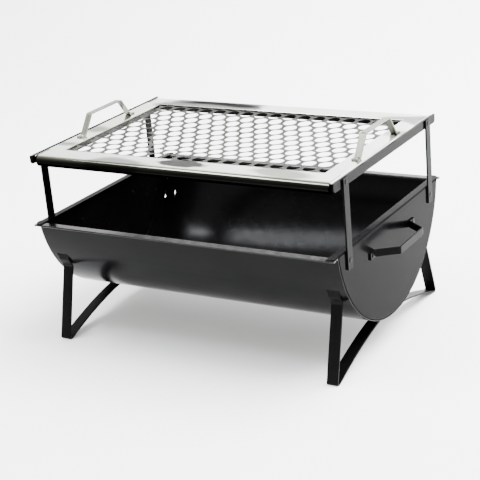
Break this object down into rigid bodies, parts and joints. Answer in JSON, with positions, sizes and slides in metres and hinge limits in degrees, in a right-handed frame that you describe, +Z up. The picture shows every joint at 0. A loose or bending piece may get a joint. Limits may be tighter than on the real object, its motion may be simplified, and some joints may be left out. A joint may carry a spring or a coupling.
{
  "type": "folding camp grill",
  "caption": "Half-round tabletop charcoal trough on strap legs, with a fold-down stand of flat posts that carries a lift-off stainless mesh grill plate.",
  "frame": {"origin": "on the ground, below the centre of the trough", "axes": "+X along the trough towards its right-hand end, +Y to the back, +Z up"},
  "size_m": [0.45, 0.298, 0.2601],
  "materials": {
    "body_paint": "gloss black heat-resistant paint",
    "stand_paint": "gloss black paint",
    "handle_paint": "gloss black paint",
    "leg_paint": "satin black paint",
    "black_rivet": "gloss black",
    "stainless_sheet": "bright rolled stainless",
    "stainless_mesh": "bare stainless",
    "stainless_strap": "brushed stainless",
    "stainless_rivet": "bare stainless"
  },
  "bodies": {
    "trough": {"trough_shell": "body_paint", "end_plate_left": "body_paint", "end_plate_right": "body_paint", "leg_strap_left": "leg_paint", "leg_strap_right": "leg_paint", "leg_rivets": "black_rivet", "post_rivets": "black_rivet", "end_handle_left": "handle_paint", "end_handle_right": "handle_paint", "end_handle_rivets": "black_rivet"},
    "front_left_post": {"post_front_left": "stand_paint"},
    "rear_left_post": {"post_rear_left": "stand_paint"},
    "front_right_post": {"post_front_right": "stand_paint"},
    "rear_right_post": {"post_rear_right": "stand_paint"},
    "left_rail": {"side_rail_left": "stand_paint", "rail_rivets_left": "black_rivet"},
    "right_rail": {"side_rail_right": "stand_paint", "rail_rivets_right": "black_rivet"},
    "grill_plate": {"grill_frame": "stainless_sheet", "grill_mesh": "stainless_mesh", "grill_handle_left": "stainless_strap", "grill_handle_right": "stainless_strap", "grill_handle_rivets": "stainless_rivet"}
  },
  "joints": [
    {"name": "stand_fold", "type": "hinge", "parent": "trough", "child": "front_left_post", "pos_m": [-0.201, -0.113, 0.142], "axis": [-1, 0, 0], "range_deg": [0, 76]},
    {"name": "rear_left_post_fold", "type": "hinge", "parent": "trough", "child": "rear_left_post", "pos_m": [-0.201, 0.113, 0.142], "axis": [-1, 0, 0], "range_deg": [0, 76]},
    {"name": "front_right_post_fold", "type": "hinge", "parent": "trough", "child": "front_right_post", "pos_m": [0.201, -0.113, 0.142], "axis": [-1, 0, 0], "range_deg": [0, 76]},
    {"name": "rear_right_post_fold", "type": "hinge", "parent": "trough", "child": "rear_right_post", "pos_m": [0.201, 0.113, 0.142], "axis": [-1, 0, 0], "range_deg": [0, 76]},
    {"name": "left_rail_pivot", "type": "hinge", "parent": "front_left_post", "child": "left_rail", "pos_m": [-0.201, -0.113, 0.2307], "axis": [-1, 0, 0], "range_deg": [-76, 0]},
    {"name": "right_rail_pivot", "type": "hinge", "parent": "front_right_post", "child": "right_rail", "pos_m": [0.201, -0.113, 0.2307], "axis": [-1, 0, 0], "range_deg": [-76, 0]},
    {"name": "grill_plate_lift", "type": "slide", "parent": "left_rail", "child": "grill_plate", "axis": [0, 0, 1], "range_m": [0, 0.12]}
  ],
  "couplings": [
    {"joint": "rear_left_post_fold", "follows": "stand_fold", "ratio": 1},
    {"joint": "front_right_post_fold", "follows": "stand_fold", "ratio": 1},
    {"joint": "rear_right_post_fold", "follows": "stand_fold", "ratio": 1},
    {"joint": "left_rail_pivot", "follows": "stand_fold", "ratio": -1},
    {"joint": "right_rail_pivot", "follows": "stand_fold", "ratio": -1}
  ]
}
